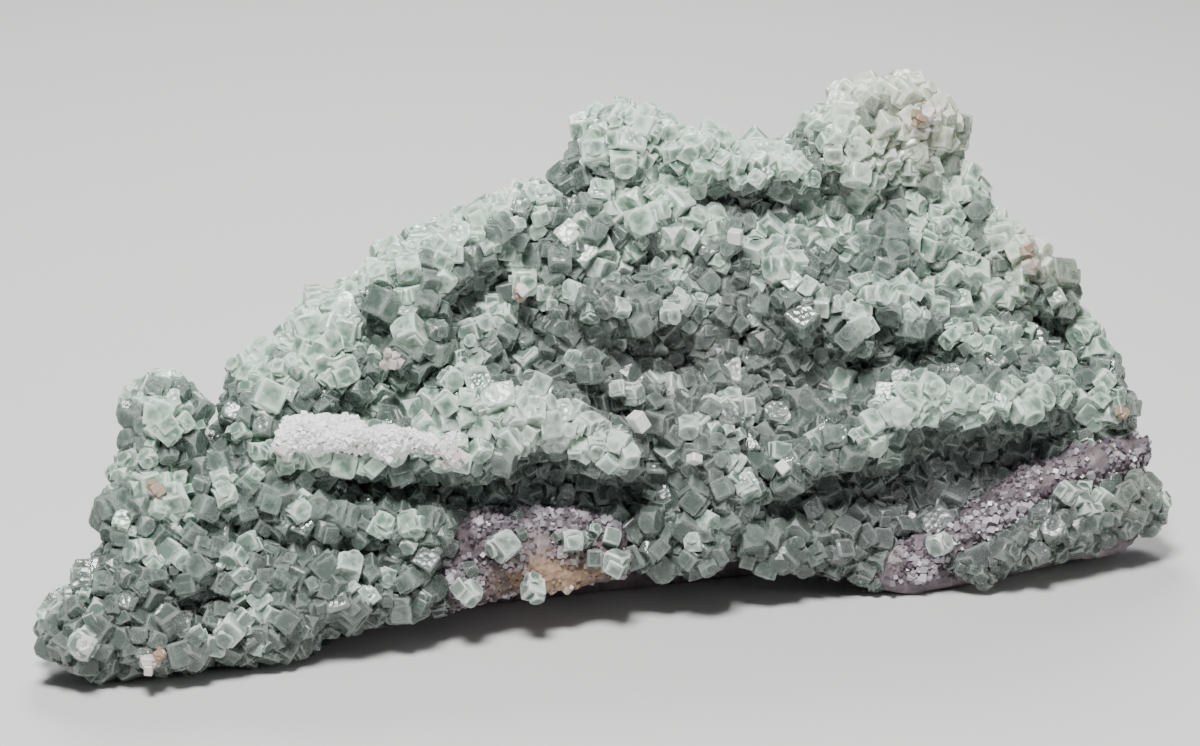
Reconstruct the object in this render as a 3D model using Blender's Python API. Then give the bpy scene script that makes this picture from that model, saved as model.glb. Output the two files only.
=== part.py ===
"""Green fluorite crystals on their rock: a loose cabinet specimen that stands on its underside.

The rock is one solid. The fluorite that covers its front is cut to the rock, so it is a crust of
its own, and so are the small crust on the foot, the white crust on one ledge, and the crystals
that stand alone on bare rock. Lengths are in millimetres in this file and become metres at the end.
"""

import math
import random

import bmesh
import bpy
from mathutils import Matrix, Vector, noise
from mathutils.bvhtree import BVHTree

MM = 0.001

# Driving sizes
FACE_FOOT_Y = -24.0     # front face at table height
FACE_LEAN = 0.36        # how far the front face falls back for each millimetre of height
BACK_FOOT_Y = 31.0      # broken back at table height
BACK_LEAN = -0.2
BED_SHARE = 0.55        # the bed's beads, as a share of the crystals' outer surface
ROCK_IN = (8.5, -4.0, 0.0)      # front set back, outline swell, back set in
BED_IN = (4.5, 0.0, 7.0)
REST_GAP = 0.4          # between pieces that touch
TABLE_CLEAR = 0.6       # lowest point of the crystals above the table
ARCH_BACK_Y = -4.0      # behind this the underside is flat on the table
VOXEL = 1.5
ROCK_FACES = 850
BED_FACES = 800
FOOT_FACES = 260
WHITE_FACES = 240
SEED = 11

# The slab's rings, from front to back: share of the depth, and shrink across and upwards
SLAB_RINGS = ((0.0, 0.97, 0.97), (0.2, 0.98, 0.97), (0.55, 0.89, 0.92), (1.0, 0.76, 0.82))

# Crystal cubes, as edge lengths on the ledges and in the hollows between them
LARGE = (7.0, 9.0)
SMALL = (5.4, 7.0)
LEDGE_OUT = -1.0        # the bed stands out this far where it counts as a ledge
TOE_TOP = 10.0          # crystals below this are small, wherever they grow
SPACING = 1.0           # between neighbours, as a share of the edge
LIFT = 0.06             # of the edge, from the bed to a cube's centre
TRIES = 5000            # places tried for the crystals of one crust
CUBE_REACH = 0.87       # from a cube's centre to its corner, as a share of the edge
CRUST_CRYSTALS = 172
FOOT_CRYSTALS = 24

# Ledges and knobs of the front, as beads of (across, up, radius, how far it stands out)
LEDGES = {
    "top_left_knob": [(6, 76, 8, 2), (4, 72, 6, 0), (11, 77, 7, 2)],
    "crest": [(5, 68, 9, -2), (14, 68, 10, -2), (26, 65, 10, -1), (38, 65, 10, -1), (50, 68, 10, -1),
              (60, 68, 10, -2)],
    "rise": [(-8, 60, 9, -2), (-22, 54, 9, -2), (-34, 48, 9, -2), (-46, 40, 8, -2), (-58, 33, 7, -2),
             (-70, 27, 7, -2)],
    "saddle": [(16, 74, 6, 3), (22, 73, 6, 3), (28, 70, 6, 4), (36, 70, 6, 4)],
    "top_right_knob": [(45, 74, 7, 4), (51, 77, 8, 4), (59, 77, 8, 2), (65, 74, 7, 0), (48, 69, 7, 3)],
    "right_shoulder": [(64, 65, 7, -2), (68, 60, 7, 0), (74, 54, 7, 0), (79, 49, 7, 2), (84, 44, 6, 0)],
    "right_edge": [(87, 39, 6, -3), (90, 34, 6, 0), (89, 28, 7, 2), (93, 21, 6, -2)],
    "left_rise_top": [(-8, 67, 6, 1), (-15, 65, 6, 2), (-22, 61, 7, 2), (-29, 59, 8, 3), (-36, 55, 7, 3)],
    "left_rise_low": [(-41, 53, 6, 0), (-48, 48, 8, 1), (-46, 43, 8, 3), (-56, 42, 8, 2), (-62, 38, 6, 2)],
    "left_knob": [(-75, 40, 8, 3), (-76, 35, 7, 3), (-80, 30, 6, 0), (-70, 33, 5, -2)],
    "pillar": [(-31, 51, 7, 5), (-35, 47, 6, 6)],
    "grey_shelf": [(-20, 46, 5, 0), (-13, 47, 6, 1), (-8, 47, 5, 0)],
    "shelf": [(-2, 52, 6, 7), (5, 51, 6, 8), (12, 53, 5, 6)],
    "upper_bed": [(-7, 60, 6, 2), (3, 63, 6, 2), (10, 65, 6, 2), (19, 60, 6, 0), (24, 56, 6, 0)],
    "right_lobes": [(33, 55, 7, 5), (34, 48, 6, 5), (43, 49, 7, 5), (42, 43, 6, 5)],
    "right_cluster": [(51, 56, 7, 4), (50, 50, 7, 5), (54, 45, 6, 5)],
    "right_ledge": [(29, 23, 6, 6), (36, 26, 6, 8), (43, 29, 6, 8), (50, 33, 7, 9), (58, 33, 7, 9),
                    (68, 31, 7, 8), (78, 31, 7, 6)],
    "right_terrace": [(69, 38, 6, 5), (62, 41, 6, 4)],
    "middle_ledge": [(-34, 36, 6, 4), (-28, 39, 7, 6), (-21, 36, 8, 9), (-13, 36, 7, 9), (-6, 32, 7, 10),
                     (-1, 30, 6, 10)],
    "left_ledge": [(-60, 35, 6, 4), (-53, 34, 7, 6), (-46, 33, 7, 7), (-38, 32, 6, 7), (-31, 32, 6, 8),
                   (-24, 31, 6, 8)],
    "middle_mass": [(-4, 42, 5, 4), (5, 36, 6, 3), (11, 31, 7, 5), (18, 30, 7, 6), (14, 24, 7, 6),
                    (21, 20, 6, 6), (12, 16, 7, 6), (12, 11, 6, 6)],
    "left_band": [(-82, 25, 7, 4), (-76, 27, 7, 3), (-68, 28, 8, 4), (-59, 25, 8, 4), (-50, 22, 7, 4),
                  (-42, 21, 7, 4), (-35, 18, 7, 5)],
    "left_apron": [(-91, 12, 6, 4), (-87, 15, 7, 4), (-80, 17, 8, 4), (-72, 18, 8, 5), (-63, 15, 8, 5),
                   (-55, 13, 8, 6), (-46, 11, 7, 6), (-38, 11, 6, 5)],
    "left_toe": [(-95, 9, 6, 2), (-93, 8, 7, 3), (-87, 7, 7, 4), (-80, 7, 7, 5), (-73, 7, 7, 5),
                 (-65, 7, 7, 5), (-57, 9, 7, 5)],
    "middle_foot": [(4, 14, 6, 3), (20, 12, 6, 4), (28, 11, 6, 3), (38, 9, 6, 2)],
}
FOOT = {
    "foot_front": [(55, 6, 6, 6), (63, 7, 7, 7), (71, 8, 7, 7), (80, 9, 7, 6), (88, 10, 7, 5),
                   (95, 10, 7, 3)],
    "foot_back": [(72, 10, 6, 6), (81, 12, 6, 6), (88, 13, 6, 5), (93, 13, 6, 2)],
}
BARE_ROCK = {
    "patch": [(-28, 9, 7, 0), (-22, 13, 7, 1), (-13, 14, 7, 1), (-4, 12, 7, 0), (-14, 9, 7, 1),
              (-26, 15, 7, 0)],
    "band": [(47, 4, 5, 0), (55, 6, 5, 1), (64, 10, 5, 2), (73, 14, 5, 2), (82, 17, 5, 2), (90, 18, 5, 1),
             (94, 19, 4, 0)],
    "foot_core": [(52, 3, 6, -1), (62, 5, 7, 0), (72, 6, 7, 0), (82, 7, 7, 0), (90, 7, 6, -1)],
}

# Hollows pushed back into the crust below its ledges, as (across, up, radius, depth)
HOLLOWS = {
    "below_left_ledge": [(-46, 27.5, 3.5, 4), (-36, 26, 4.5, 6), (-20, 24, 5, 7), (-4, 22.5, 5, 7),
                         (5, 21, 4, 4)],
    "below_right_ledge": [(32, 20, 4, 3), (43, 18, 5, 6), (54, 17, 6, 7), (66, 19, 6, 7), (77, 22, 4.5, 5)],
    "below_saddle": [(23, 66, 4, 4), (33, 64.5, 5, 6), (44, 63.5, 5, 6), (54, 64, 4, 4)],
    "middle": [(7, 46, 4, 4), (15, 43, 5, 5), (24, 39, 5, 5), (34, 36, 5, 5), (41, 37, 4, 4)],
    "by_pillar": [(-16, 42, 4, 4), (-13, 49, 4, 4), (-23, 55, 4, 3), (-27, 50, 4, 4)],
    "by_right_lobes": [(37, 59, 4, 4), (43, 62, 4, 4)],
}
HOLLOW_FLOOR = 6.5      # the hollows end this far behind the face, in front of the rock

# The rock's outline from the front, as (across, up), clockwise from its left tip
ROCK_OUTLINE = [
    (-93, 3), (-88, 12), (-78, 21), (-71, 30), (-58, 35), (-44, 43), (-28, 51), (-10, 59), (1, 69),
    (14, 70), (30, 66), (44, 70), (58, 71), (63, 63), (72, 50), (81, 38), (88, 24), (92, 10), (92, 1),
    (60, -3), (-60, -3),
]

# Regions of the front, as (across, up)
UNDER_BAND = [
    (44, -20), (46, 0), (57, 5), (65, 8), (73, 11.4), (81, 14), (89, 15.6), (97, 17), (125, 18), (125, -20),
]
BAND_WIDTH = 4.5
BARE_PATCH = [
    (-30, -20), (-32, 9), (-30, 16), (-24, 19), (-13, 19), (-6, 16.5), (0, 14), (2, 9), (1, -20),
]
ARCH = [
    (-56, -20), (-55, 1.0), (-48, 4), (-32, 5.5), (-14, 7), (0, 7.5), (20, 8.5), (34, 4), (43, 1), (44, -20),
]

# Crystals that stand alone on bare rock, as (across, up, edge)
LONE_CRYSTALS = [
    (-22.5, 16.5, 4.8), (-29, 10, 3.8), (-18, 9.5, 3.6), (-11, 16, 3.8), (-4, 12, 4.0), (54, 8.5, 4.2),
    (78, 16, 3.8),
]
CUT_CORNER = 0.14       # of the edge
SEATED = 0.28           # the crystal's centre stands off the rock by this share of its edge

# The white crust on the left ledge, as (across, up, radius)
WHITE_LEDGE = [
    (-59, 37, 2.6), (-54, 38, 3.8), (-49, 37.5, 4.0), (-44, 36.5, 3.3), (-39, 35.5, 2.8), (-34, 35, 2.3),
    (-28, 35.5, 2.8),
]
WHITE_OUT = 5.0

# Roughness of the skins, as how far noise pushes them and how large its lumps are
ROCK_ROUGH = (3.2, 11.0)
BED_ROUGH = (0.8, 9.0)
WHITE_ROUGH = (2.0, 3.5)


def face_y(up):
    """Depth of the front face at a height."""
    return FACE_FOOT_Y + FACE_LEAN * up


def bead_centre(bead):
    across, up, radius, out = bead
    return Vector((across, face_y(up) - out + radius, up))


def clear_scene():
    for old in list(bpy.data.objects):
        bpy.data.objects.remove(old)


def link(mesh, name):
    made = bpy.data.objects.new(name, mesh)
    bpy.context.scene.collection.objects.link(made)
    return made


def take_result(obj):
    """The object's mesh with its modifiers applied, and the object gone."""
    bpy.context.view_layer.update()
    graph = bpy.context.evaluated_depsgraph_get()
    mesh = bpy.data.meshes.new_from_object(obj.evaluated_get(graph))
    bpy.data.objects.remove(obj)
    return mesh


def mesh_from(shape, name):
    mesh = bpy.data.meshes.new(name)
    shape.to_mesh(mesh)
    shape.free()
    return mesh


def triangle_count(mesh):
    mesh.calc_loop_triangles()
    return len(mesh.loop_triangles)


def unit_solid(make, **sizes):
    """Points and faces of one small solid, to be copied many times."""
    shape = bmesh.new()
    make(shape, **sizes)
    shape.verts.index_update()
    points = [v.co.copy() for v in shape.verts]
    faces = [[v.index for v in f.verts] for f in shape.faces]
    shape.free()
    return points, faces


def copies(unit, places, name):
    """One mesh that holds a copy of the unit solid at each of the matrices."""
    points, faces = unit
    all_points = [place @ point for place in places for point in points]
    all_faces = [
        [index + number * len(points) for index in face]
        for number in range(len(places))
        for face in faces
    ]
    mesh = bpy.data.meshes.new(name)
    mesh.from_pydata(all_points, [], all_faces)
    return mesh


def slab_mesh(front_set, swell, rear_set):
    """The heart of the rock: its outline pushed from the front face to the broken back."""
    shape = bmesh.new()
    rings = []
    for share, keep_across, keep_up in SLAB_RINGS:
        ring = []
        for across, up in ROCK_OUTLINE:
            outward = Vector((across, 0, up - 30)).normalized() * swell
            front = face_y(up) + front_set
            rear = BACK_FOOT_Y + BACK_LEAN * up - rear_set
            depth = front + (rear - front) * share
            place = Vector((across * keep_across, depth, up * keep_up)) + outward
            ring.append(shape.verts.new(place))
        rings.append(ring)
    for near, far in zip(rings, rings[1:]):
        for i in range(len(near)):
            j = (i + 1) % len(near)
            shape.faces.new((near[i], near[j], far[j], far[i]))
    shape.faces.new(list(reversed(rings[0])))
    shape.faces.new(rings[-1])
    bmesh.ops.recalc_face_normals(shape, faces=shape.faces)
    return mesh_from(shape, "slab")


def bead_places(chains, share):
    """Where balls go at the beads and between them, with others behind that root them in the slab."""
    places = []
    for chain in chains:
        between = [[(a + b) / 2 for a, b in zip(one, two)] for one, two in zip(chain, chain[1:])]
        for bead in list(chain) + between:
            for root in (Vector((0, 0, 0)), Vector((0, 3, -0.5)), Vector((0, 6.5, -1))):
                place = Matrix.Translation(bead_centre(bead) + root)
                places.append(place @ Matrix.Scale(bead[2] * share, 4))
    return places


def joined(first, second):
    """Both meshes in one, as they are."""
    shape = bmesh.new()
    shape.from_mesh(first)
    shape.from_mesh(second)
    return mesh_from(shape, first.name)


def fused(mesh):
    """One closed skin round everything in the mesh."""
    obj = link(mesh, mesh.name)
    fuse = obj.modifiers.new("fuse", "REMESH")
    fuse.mode = "VOXEL"
    fuse.voxel_size = VOXEL
    return take_result(obj)


def roughened(mesh, amount, scale, least=0.15):
    """Pushes each point in or out by noise, most on the broken back, and skins the result anew."""
    moved = []
    for vertex in mesh.vertices:
        back = min(1.0, max(least, (vertex.co.y - 4) / 18))
        push = noise.fractal(vertex.co / scale, 1.0, 2.0, 3) * amount * back
        moved.append(vertex.co + vertex.normal * push)
    for vertex, place in zip(mesh.vertices, moved):
        vertex.co = place
    mesh.update()
    return fused(mesh)


def thinned(mesh, name, faces):
    obj = link(mesh, name)
    fewer = obj.modifiers.new("fewer", "DECIMATE")
    fewer.ratio = faces / triangle_count(mesh)
    return take_result(obj)


def prism(outline, name, near=-90.0, far=90.0):
    """An outline of (across, up) pushed straight through the specimen from front to back."""
    shape = bmesh.new()
    base = shape.faces.new([shape.verts.new((across, near, up)) for across, up in outline])
    pushed = bmesh.ops.extrude_face_region(shape, geom=[base])
    moved = [v for v in pushed["geom"] if isinstance(v, bmesh.types.BMVert)]
    bmesh.ops.translate(shape, verts=moved, vec=(0, far - near, 0))
    bmesh.ops.recalc_face_normals(shape, faces=shape.faces)
    return mesh_from(shape, name)


def block(low, high, name):
    shape = bmesh.new()
    size = Vector(high) - Vector(low)
    centre = (Vector(high) + Vector(low)) / 2
    bmesh.ops.create_cube(shape, size=1, matrix=Matrix.Translation(centre) @ Matrix.Diagonal((*size, 1)))
    return mesh_from(shape, name)


def combined(mesh, tool, operation, itself=False):
    """The mesh after one Boolean with the tool."""
    obj = link(mesh, "worked")
    other = link(tool, "tool")
    other.hide_render = True
    cut = obj.modifiers.new("cut", "BOOLEAN")
    cut.operation = operation
    cut.object = other
    cut.use_self = itself
    made = take_result(obj)
    bpy.data.objects.remove(other)
    return made


def inflated(mesh, gap):
    """A copy whose every face has moved outwards by at least the gap."""
    shape = bmesh.new()
    shape.from_mesh(mesh)
    moves = []
    for vertex in shape.verts:
        normals = [face.normal for face in vertex.link_faces]
        mean = sum(normals, Vector()).normalized()
        least = max(0.35, min(mean.dot(n) for n in normals))
        moves.append(mean * gap / least)
    for vertex, move in zip(shape.verts, moves):
        vertex.co += move
    return mesh_from(shape, mesh.name + "_gap")


def in_outline(across, up, outline):
    """Whether a place on the front lies inside an outline."""
    inside = False
    for (ax, ay), (bx, by) in zip(outline, outline[1:] + outline[:1]):
        if (ay > up) != (by > up) and across < (bx - ax) * (up - ay) / (by - ay) + ax:
            inside = not inside
    return inside


def random_turn(rng):
    """A rotation that favours no direction."""
    axis = Vector((rng.gauss(0, 1), rng.gauss(0, 1), rng.gauss(0, 1))).normalized()
    return Matrix.Rotation(rng.uniform(0, math.tau), 4, axis)


def scattered_places(mesh, allowed, rng, tries):
    """Places and normals spread over a mesh by area."""
    mesh.calc_loop_triangles()
    corners = [[mesh.vertices[i].co.copy() for i in t.vertices] for t in mesh.loop_triangles]
    areas = [(b - a).cross(c - a).length / 2 for a, b, c in corners]
    normals = [(b - a).cross(c - a).normalized() for a, b, c in corners]
    picks = rng.choices(range(len(corners)), weights=areas, k=tries)
    found = []
    for pick in picks:
        a, b, c = corners[pick]
        u, v = rng.random(), rng.random()
        if u + v > 1:
            u, v = 1 - u, 1 - v
        place = a + (b - a) * u + (c - a) * v
        if allowed(place, normals[pick]):
            found.append((place, normals[pick]))
    return found


def crystal_sites(bed, allowed, rng, most):
    """Crystals as (place, edge), large on the ledges, none too near another."""
    sites = []
    for place, normal in scattered_places(bed, allowed, rng, TRIES):
        ledge = face_y(place.z) - place.y > LEDGE_OUT and place.z > TOE_TOP
        edge = rng.uniform(*(LARGE if ledge else SMALL))
        if all((place - p).length > SPACING * (edge + e) / 2 for p, e in sites):
            sites.append((place + normal * edge * LIFT, edge))
        if len(sites) >= most:
            break
    return sites


def crystals_mesh(sites, rng, name):
    cube = unit_solid(bmesh.ops.create_cube, size=1)
    places = [
        Matrix.Translation(place) @ random_turn(rng) @ Matrix.Scale(edge, 4)
        for place, edge in sites
    ]
    return copies(cube, places, name)


def rounds_of(sites):
    """The sites sorted into rounds, so that no two crystals of one round can touch."""
    rounds = []
    for place, edge in sites:
        for group in rounds:
            if all((place - p).length > CUBE_REACH * (edge + e) for p, e in group):
                group.append((place, edge))
                break
        else:
            rounds.append([(place, edge)])
    return rounds


def with_crystals(bed, sites, rng):
    """The bed with its crystals fused on, round by round."""
    for number, group in enumerate(rounds_of(sites)):
        bed = combined(bed, crystals_mesh(group, rng, f"round_{number}"), "UNION")
    return bed


def largest_piece(mesh):
    """The mesh without the crumbs that a cut leaves loose."""
    shape = bmesh.new()
    shape.from_mesh(mesh)
    left = set(shape.verts)
    pieces = []
    while left:
        start = left.pop()
        piece, edge_of = {start}, [start]
        while edge_of:
            for edge in edge_of.pop().link_edges:
                for vertex in edge.verts:
                    if vertex in left:
                        left.remove(vertex)
                        piece.add(vertex)
                        edge_of.append(vertex)
        pieces.append(piece)
    pieces.sort(key=len)
    for piece in pieces[:-1]:
        bmesh.ops.delete(shape, geom=list(piece), context="VERTS")
    return mesh_from(shape, mesh.name)


def finish_node(mesh, name, colour, roughness):
    """The finished piece in metres, with its own material."""
    mesh.transform(Matrix.Scale(MM, 4))
    mesh.materials.clear()
    paint = bpy.data.materials.new(name)
    paint.use_nodes = True
    shader = paint.node_tree.nodes["Principled BSDF"]
    shader.inputs["Base Color"].default_value = (*colour, 1)
    shader.inputs["Roughness"].default_value = roughness
    mesh.materials.append(paint)
    mesh.name = name
    obj = link(mesh, name)
    print(name, triangle_count(mesh))
    return obj


def cut_by_table(mesh, height):
    return combined(mesh, block((-200, -90, -60), (200, 90, height), "table"), "DIFFERENCE")


def beads_mesh(chains, share):
    ball = unit_solid(bmesh.ops.create_icosphere, subdivisions=2, radius=1)
    return copies(ball, bead_places(chains, share), "beads")


def build_rock():
    """The whole lump of rock, before its underside is cut."""
    lump = joined(slab_mesh(*ROCK_IN), beads_mesh(BARE_ROCK.values(), 1.0))
    return thinned(roughened(fused(lump), *ROCK_ROUGH), "matrix_rock", ROCK_FACES)


def with_underside(rock):
    """The rock with its hollow under the front and its flat resting face."""
    rock = combined(rock, prism(ARCH, "arch", far=ARCH_BACK_Y), "DIFFERENCE")
    return cut_by_table(rock, 0.0)


def hollow_depth(place):
    """How far the hollows push back a point of the front."""
    deepest = 0.0
    for chain in HOLLOWS.values():
        for first, last in zip(chain, chain[1:]):
            start, along = Vector(first[:2]), Vector(last[:2]) - Vector(first[:2])
            share = (Vector((place.x, place.z)) - start).dot(along) / along.length_squared
            share = min(1.0, max(0.0, share))
            radius, depth = [a + (b - a) * share for a, b in zip(first[2:], last[2:])]
            away = (Vector((place.x, place.z)) - start - along * share).length
            deepest = max(deepest, depth * (1 - (away / radius) ** 2))
    return deepest


def hollowed(mesh):
    """The skin with the hollows pushed into its front."""
    for vertex in mesh.vertices:
        floor = max(vertex.co.y, face_y(vertex.co.z) + HOLLOW_FLOOR)
        vertex.co.y = min(vertex.co.y + hollow_depth(vertex.co), floor)
    mesh.update()
    return fused(mesh)


def build_bed(name, lump, faces):
    return thinned(hollowed(roughened(fused(lump), *BED_ROUGH)), name, faces)


def main_crust_holds(place, normal):
    """Whether a crystal of the main crust may grow here."""
    if normal.y > 0.6 or (place.z < 55 and place.y > BACK_FOOT_Y + BACK_LEAN * place.z - 12):
        return False
    if place.z < 3 or (place.z < 5 and normal.z < -0.7):
        return False
    if place.z < 12 and place.y > 0:
        return False
    if place.y < 5 and in_outline(place.x, place.z - 1, BARE_PATCH):
        return False
    return not in_outline(place.x, place.z - BAND_WIDTH - 2, UNDER_BAND)


def foot_crust_holds(place, normal):
    """Whether a crystal of the crust on the foot may grow here."""
    return in_outline(place.x, place.z + 2, UNDER_BAND) and place.y < 5 and place.z > 2


def cut_to_rock(mesh, rock):
    """The mesh with the rock's place cut out of it, a resting gap away."""
    mesh = combined(mesh, inflated(rock, REST_GAP), "DIFFERENCE", itself=True)
    return combined(mesh, inflated(rock, REST_GAP / 3), "DIFFERENCE", itself=True)


def build_main_crust(rock, white, rng):
    lump = joined(slab_mesh(*BED_IN), beads_mesh(LEDGES.values(), BED_SHARE))
    bed = build_bed("fluorite_crust", lump, BED_FACES)
    sites = crystal_sites(bed, main_crust_holds, rng, CRUST_CRYSTALS)
    crust = with_crystals(bed, sites, rng)
    above_band = [(across, up + BAND_WIDTH) for across, up in UNDER_BAND]
    crust = combined(crust, prism(above_band, "band"), "DIFFERENCE")
    crust = combined(crust, prism(BARE_PATCH, "patch", far=5), "DIFFERENCE")
    crust = combined(crust, prism(ARCH, "arch", far=0.0), "DIFFERENCE")
    crust = cut_by_table(crust, TABLE_CLEAR)
    crust = combined(crust, inflated(white, REST_GAP), "DIFFERENCE")
    return largest_piece(cut_to_rock(crust, rock))


def build_foot_crust(rock, rng):
    bed = build_bed("foot_crust", beads_mesh(FOOT.values(), BED_SHARE), FOOT_FACES)
    sites = crystal_sites(bed, foot_crust_holds, rng, FOOT_CRYSTALS)
    crust = with_crystals(bed, sites, rng)
    crust = combined(crust, prism(UNDER_BAND, "foot_region"), "INTERSECT")
    crust = cut_by_table(crust, TABLE_CLEAR)
    return largest_piece(cut_to_rock(crust, rock))


def build_white_crust():
    """The lumpy strip of fine white crystals along the left ledge."""
    places = []
    for one, two in zip(WHITE_LEDGE, WHITE_LEDGE[1:]):
        for mix in (0, 0.34, 0.67):
            across, up, radius = [a + (b - a) * mix for a, b in zip(one, two)]
            centre = Vector((across, face_y(up) - WHITE_OUT, up))
            places.append(Matrix.Translation(centre) @ Matrix.Scale(radius, 4))
    ball = unit_solid(bmesh.ops.create_icosphere, subdivisions=2, radius=1)
    lumps = fused(copies(ball, places, "white_crust"))
    return thinned(roughened(lumps, *WHITE_ROUGH, least=1.0), "white_crust", WHITE_FACES)


def build_lone_crystal(number, site, rock, rng):
    """A cube with cut corners, seated on the bare rock where a line from the front meets it."""
    across, up, edge = site
    tree = BVHTree.FromPolygons([v.co for v in rock.vertices], [p.vertices for p in rock.polygons])
    place, normal, index, distance = tree.ray_cast(Vector((across, -80, up)), Vector((0, 1, 0)))
    shape = bmesh.new()
    turn = random_turn(rng)
    seat = Matrix.Translation(place + normal * edge * SEATED)
    bmesh.ops.create_cube(shape, size=edge, matrix=seat @ turn)
    bmesh.ops.bevel(shape, geom=list(shape.verts), offset=edge * CUT_CORNER, segments=1, affect="VERTICES")
    mesh = mesh_from(shape, f"lone_crystal_{number}")
    return largest_piece(cut_to_rock(mesh, rock))


def main():
    clear_scene()
    rng = random.Random(SEED)
    rock = build_rock()
    white = build_white_crust()
    crust = build_main_crust(rock, white, rng)
    foot = build_foot_crust(rock, rng)
    lone = [build_lone_crystal(n + 1, site, rock, rng) for n, site in enumerate(LONE_CRYSTALS)]
    for mesh in lone:
        crust = combined(crust, inflated(mesh, REST_GAP), "DIFFERENCE")
        foot = combined(foot, inflated(mesh, REST_GAP), "DIFFERENCE")
    white = cut_to_rock(white, rock)
    finish_node(with_underside(rock), "matrix_rock", (0.33, 0.27, 0.27), 0.8)
    finish_node(crust, "fluorite_crust", (0.5, 0.66, 0.57), 0.25)
    finish_node(foot, "foot_crust", (0.5, 0.66, 0.57), 0.25)
    finish_node(white, "white_crust", (0.85, 0.87, 0.84), 0.5)
    for number, mesh in enumerate(lone):
        finish_node(mesh, f"lone_crystal_{number + 1}", (0.6, 0.72, 0.64), 0.2)


if __name__ == "__main__":
    main()
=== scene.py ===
# %% [markdown]
# # A cluster of green fluorite on its rock
#
# The specimen is a slab of rock, about as long as a hand, whose front, top and ends are covered with
# cubes of pale green fluorite. The solids come from the frame and say where the rock ends and how
# far the crust reaches. This lesson grows the fine detail over them: some thousands of small
# crystals, the sugary white crust on one ledge, and the sparkling grains on the bare rock.

# %% Load the frame
import math

import bmesh
import bpy
import numpy as np
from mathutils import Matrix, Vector, noise
from mathutils.bvhtree import BVHTree


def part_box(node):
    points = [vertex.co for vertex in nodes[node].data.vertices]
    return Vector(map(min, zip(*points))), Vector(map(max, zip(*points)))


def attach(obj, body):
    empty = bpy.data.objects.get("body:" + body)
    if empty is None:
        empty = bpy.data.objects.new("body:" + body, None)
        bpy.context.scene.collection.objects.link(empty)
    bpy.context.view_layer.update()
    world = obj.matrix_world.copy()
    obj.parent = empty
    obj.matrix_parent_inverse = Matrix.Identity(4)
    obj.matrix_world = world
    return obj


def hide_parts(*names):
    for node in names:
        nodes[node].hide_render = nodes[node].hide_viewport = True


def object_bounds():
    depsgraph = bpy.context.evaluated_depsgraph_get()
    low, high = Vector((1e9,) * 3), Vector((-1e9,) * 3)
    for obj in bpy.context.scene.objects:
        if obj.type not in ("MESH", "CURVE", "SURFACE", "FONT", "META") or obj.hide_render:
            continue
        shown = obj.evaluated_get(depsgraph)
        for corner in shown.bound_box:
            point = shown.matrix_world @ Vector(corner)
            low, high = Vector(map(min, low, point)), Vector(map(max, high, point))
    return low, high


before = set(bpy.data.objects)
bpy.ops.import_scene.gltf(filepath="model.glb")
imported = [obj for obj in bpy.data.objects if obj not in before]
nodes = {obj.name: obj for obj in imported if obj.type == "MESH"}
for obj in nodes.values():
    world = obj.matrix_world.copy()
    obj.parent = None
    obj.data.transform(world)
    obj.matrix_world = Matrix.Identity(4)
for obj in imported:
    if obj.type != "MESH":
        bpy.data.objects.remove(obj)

MM = 0.001
cad_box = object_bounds()
chance = np.random.default_rng(23)
print("solids:", len(nodes), "box in mm:", [[round(v / MM, 1) for v in corner] for corner in cad_box])

# %% [markdown]
# ## Camera, floor and light
#
# A product shot of a mineral uses a long lens, so that the block isn't distorted. The camera stands
# a little to the left and looks down by 18 degrees. The floor is a plain pale sheet. Three soft
# area lights do the work: a large one above and to the left that models the lumps, a weak one from
# the right, and one behind that lights the crystals along the top edge from within.

# %% Camera
AIM = Vector((0, 0, 0.0385))
AZIMUTH, ELEVATION, DISTANCE = math.radians(-17), math.radians(18), 0.595

camera_data = bpy.data.cameras.new("camera")
camera_data.lens = 105
camera_data.sensor_width = 36
camera_data.clip_start = 0.01
camera = bpy.data.objects.new("camera", camera_data)
bpy.context.scene.collection.objects.link(camera)
towards_camera = Vector((
    math.sin(AZIMUTH) * math.cos(ELEVATION),
    -math.cos(AZIMUTH) * math.cos(ELEVATION),
    math.sin(ELEVATION),
))
camera.location = AIM + towards_camera * DISTANCE
camera.rotation_euler = (-towards_camera).to_track_quat("-Z", "Y").to_euler()
bpy.context.scene.camera = camera
print("camera at", [round(v, 3) for v in camera.location])


# %% Floor
def plain_material(name, colour, roughness):
    material = bpy.data.materials.new(name)
    material.use_nodes = True
    shader = material.node_tree.nodes["Principled BSDF"]
    shader.inputs["Base Color"].default_value = (*colour, 1)
    shader.inputs["Roughness"].default_value = roughness
    return material


def link(mesh, name):
    made = bpy.data.objects.new(name, mesh)
    bpy.context.scene.collection.objects.link(made)
    return made


floor_mesh = bpy.data.meshes.new("floor")
floor_mesh.from_pydata([(-3, -2, 0), (3, -2, 0), (3, 6, 0), (-3, 6, 0)], [], [(0, 1, 2, 3)])
floor = link(floor_mesh, "floor")
floor.location.z = -0.0002
floor.data.materials.append(plain_material("floor_paint", (0.62, 0.62, 0.61), 0.8))


# %% Lights
def soft_light(name, place, size, watts):
    data = bpy.data.lights.new(name, "AREA")
    data.size = size
    data.energy = watts
    lamp = link(data, name)
    lamp.location = place
    lamp.rotation_euler = (AIM - Vector(place)).to_track_quat("-Z", "Y").to_euler()


soft_light("key", (-0.2, -0.34, 0.85), 0.25, 16.0)
soft_light("fill", (0.7, -0.6, 0.3), 0.3, 1.0)
soft_light("rim", (0.1, 0.5, 0.6), 0.3, 5.0)

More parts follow.
